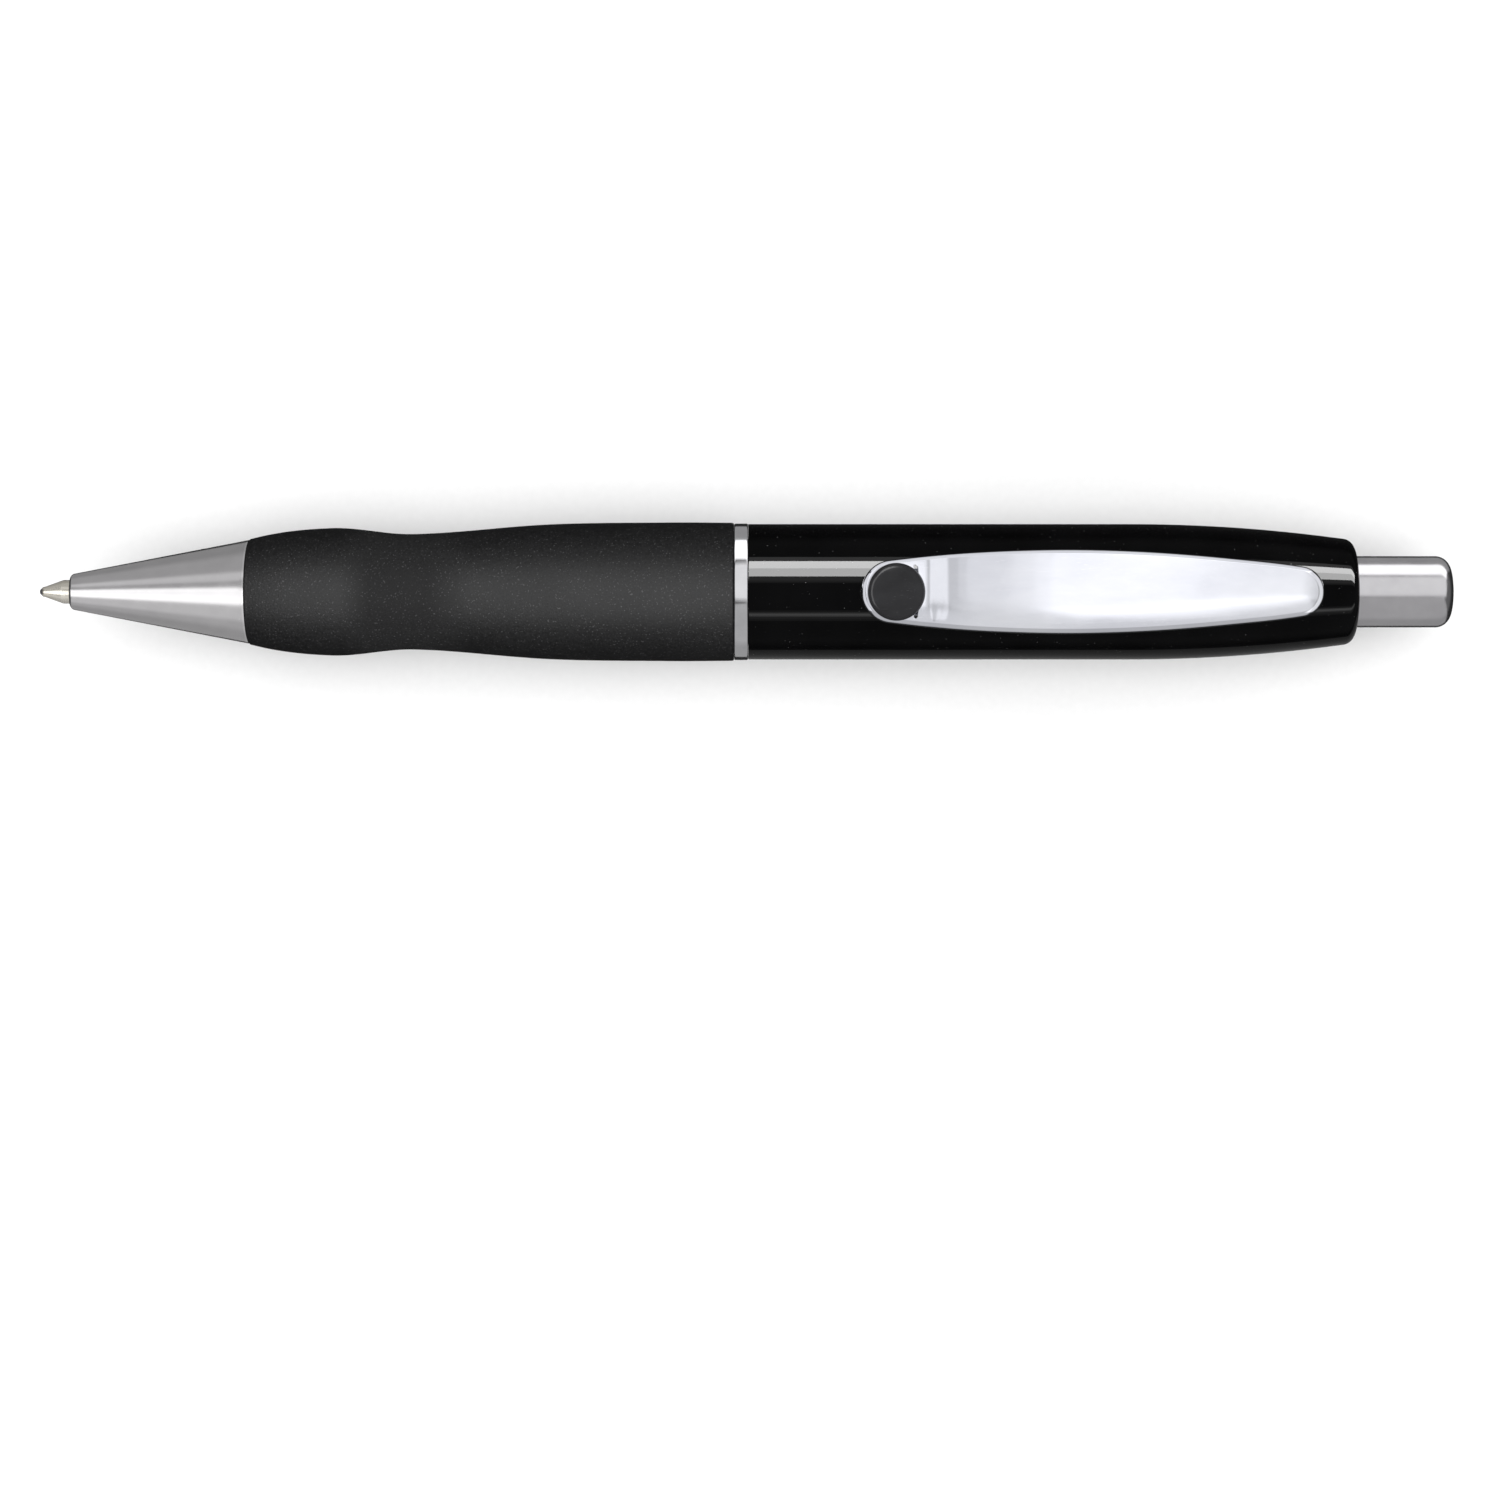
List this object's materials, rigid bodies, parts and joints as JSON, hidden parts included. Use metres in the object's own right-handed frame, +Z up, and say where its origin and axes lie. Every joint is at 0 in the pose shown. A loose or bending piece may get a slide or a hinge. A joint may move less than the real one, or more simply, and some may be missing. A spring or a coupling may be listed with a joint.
{
  "type": "retractable ballpoint pen",
  "caption": "Retractable ballpoint pen with a metal nose cone, a black rubber grip, a gloss black barrel, a chrome clip and a push button, shown with its point out.",
  "frame": {"origin": "the middle of the pen's length, under its axis, at the level of the lowest line of the grip, on which the pen lies", "axes": "+X runs along the pen from the writing point to the push button, +Y goes across, and +Z is up, on the clip's side"},
  "size_m": [0.1412, 0.0138, 0.0176],
  "materials": {
    "ball_carbide": "polished",
    "nickel_silver": "satin turned metal",
    "brass": "satin",
    "refill_steel": "satin",
    "refill_plastic": "satin",
    "ink": "wet gloss",
    "spring_steel": "bright drawn wire",
    "cone_metal": "satin chrome",
    "inner_plastic": "matte",
    "grip_rubber": "soft matte, fine grain",
    "ring_chrome": "polished chrome",
    "barrel_gloss": "high gloss",
    "sleeve_plastic": "natural moulded",
    "rotor_plastic": "natural moulded",
    "pusher_plastic": "natural moulded",
    "button_metal": "satin chrome",
    "clip_chrome": "polished chrome",
    "insert_plastic": "gloss",
    "bracket_plastic": "satin"
  },
  "bodies": {
    "barrel": {"nose_cone": "cone_metal", "lower_barrel": "inner_plastic", "rubber_grip": "grip_rubber", "centre_ring": "ring_chrome", "upper_barrel": "barrel_gloss", "cam_sleeve": "sleeve_plastic", "clip_bracket": "bracket_plastic", "return_spring": "spring_steel"},
    "button": {"push_button": "button_metal", "thruster": "pusher_plastic"},
    "refill": {"refill_point": "nickel_silver", "refill_neck": "brass", "refill_tube": "refill_steel", "refill_end_cap": "refill_plastic", "ink_column": "ink"},
    "cam": {"rotor": "rotor_plastic"},
    "ball": {"writing_ball": "ball_carbide"},
    "clip": {"clip": "clip_chrome", "clip_insert": "insert_plastic"}
  },
  "joints": [
    {"name": "button_slide", "type": "slide", "parent": "barrel", "child": "button", "axis": [1, 0, 0], "range_m": [-0.0012, 0.005]},
    {"name": "refill_slide", "type": "slide", "parent": "barrel", "child": "refill", "axis": [1, 0, 0], "range_m": [-0.0012, 0.005], "deforming": ["return_spring"]},
    {"name": "rotor_turn", "type": "hinge", "parent": "refill", "child": "cam", "pos_m": [0.0334, 0, 0.00693], "axis": [1, 0, 0], "range_deg": [-14.5, 60.1]},
    {"name": "ball_roll", "type": "hinge", "parent": "refill", "child": "ball", "pos_m": [-0.0702, 0, 0.00693], "axis": [0, 1, 0], "continuous": true},
    {"name": "clip_lift", "type": "hinge", "parent": "barrel", "child": "clip", "pos_m": [0.0567, 0, 0.01268], "axis": [0, 1, 0], "range_deg": [0, 4], "stiffness_Nm_per_rad": 2.5, "springref_deg": -1.15}
  ],
  "couplings": [
    {"joint": "refill_slide", "follows": "button_slide", "ratio": 1},
    {"joint": "rotor_turn", "follows": "button_slide", "rad_per_m": 209.44}
  ]
}
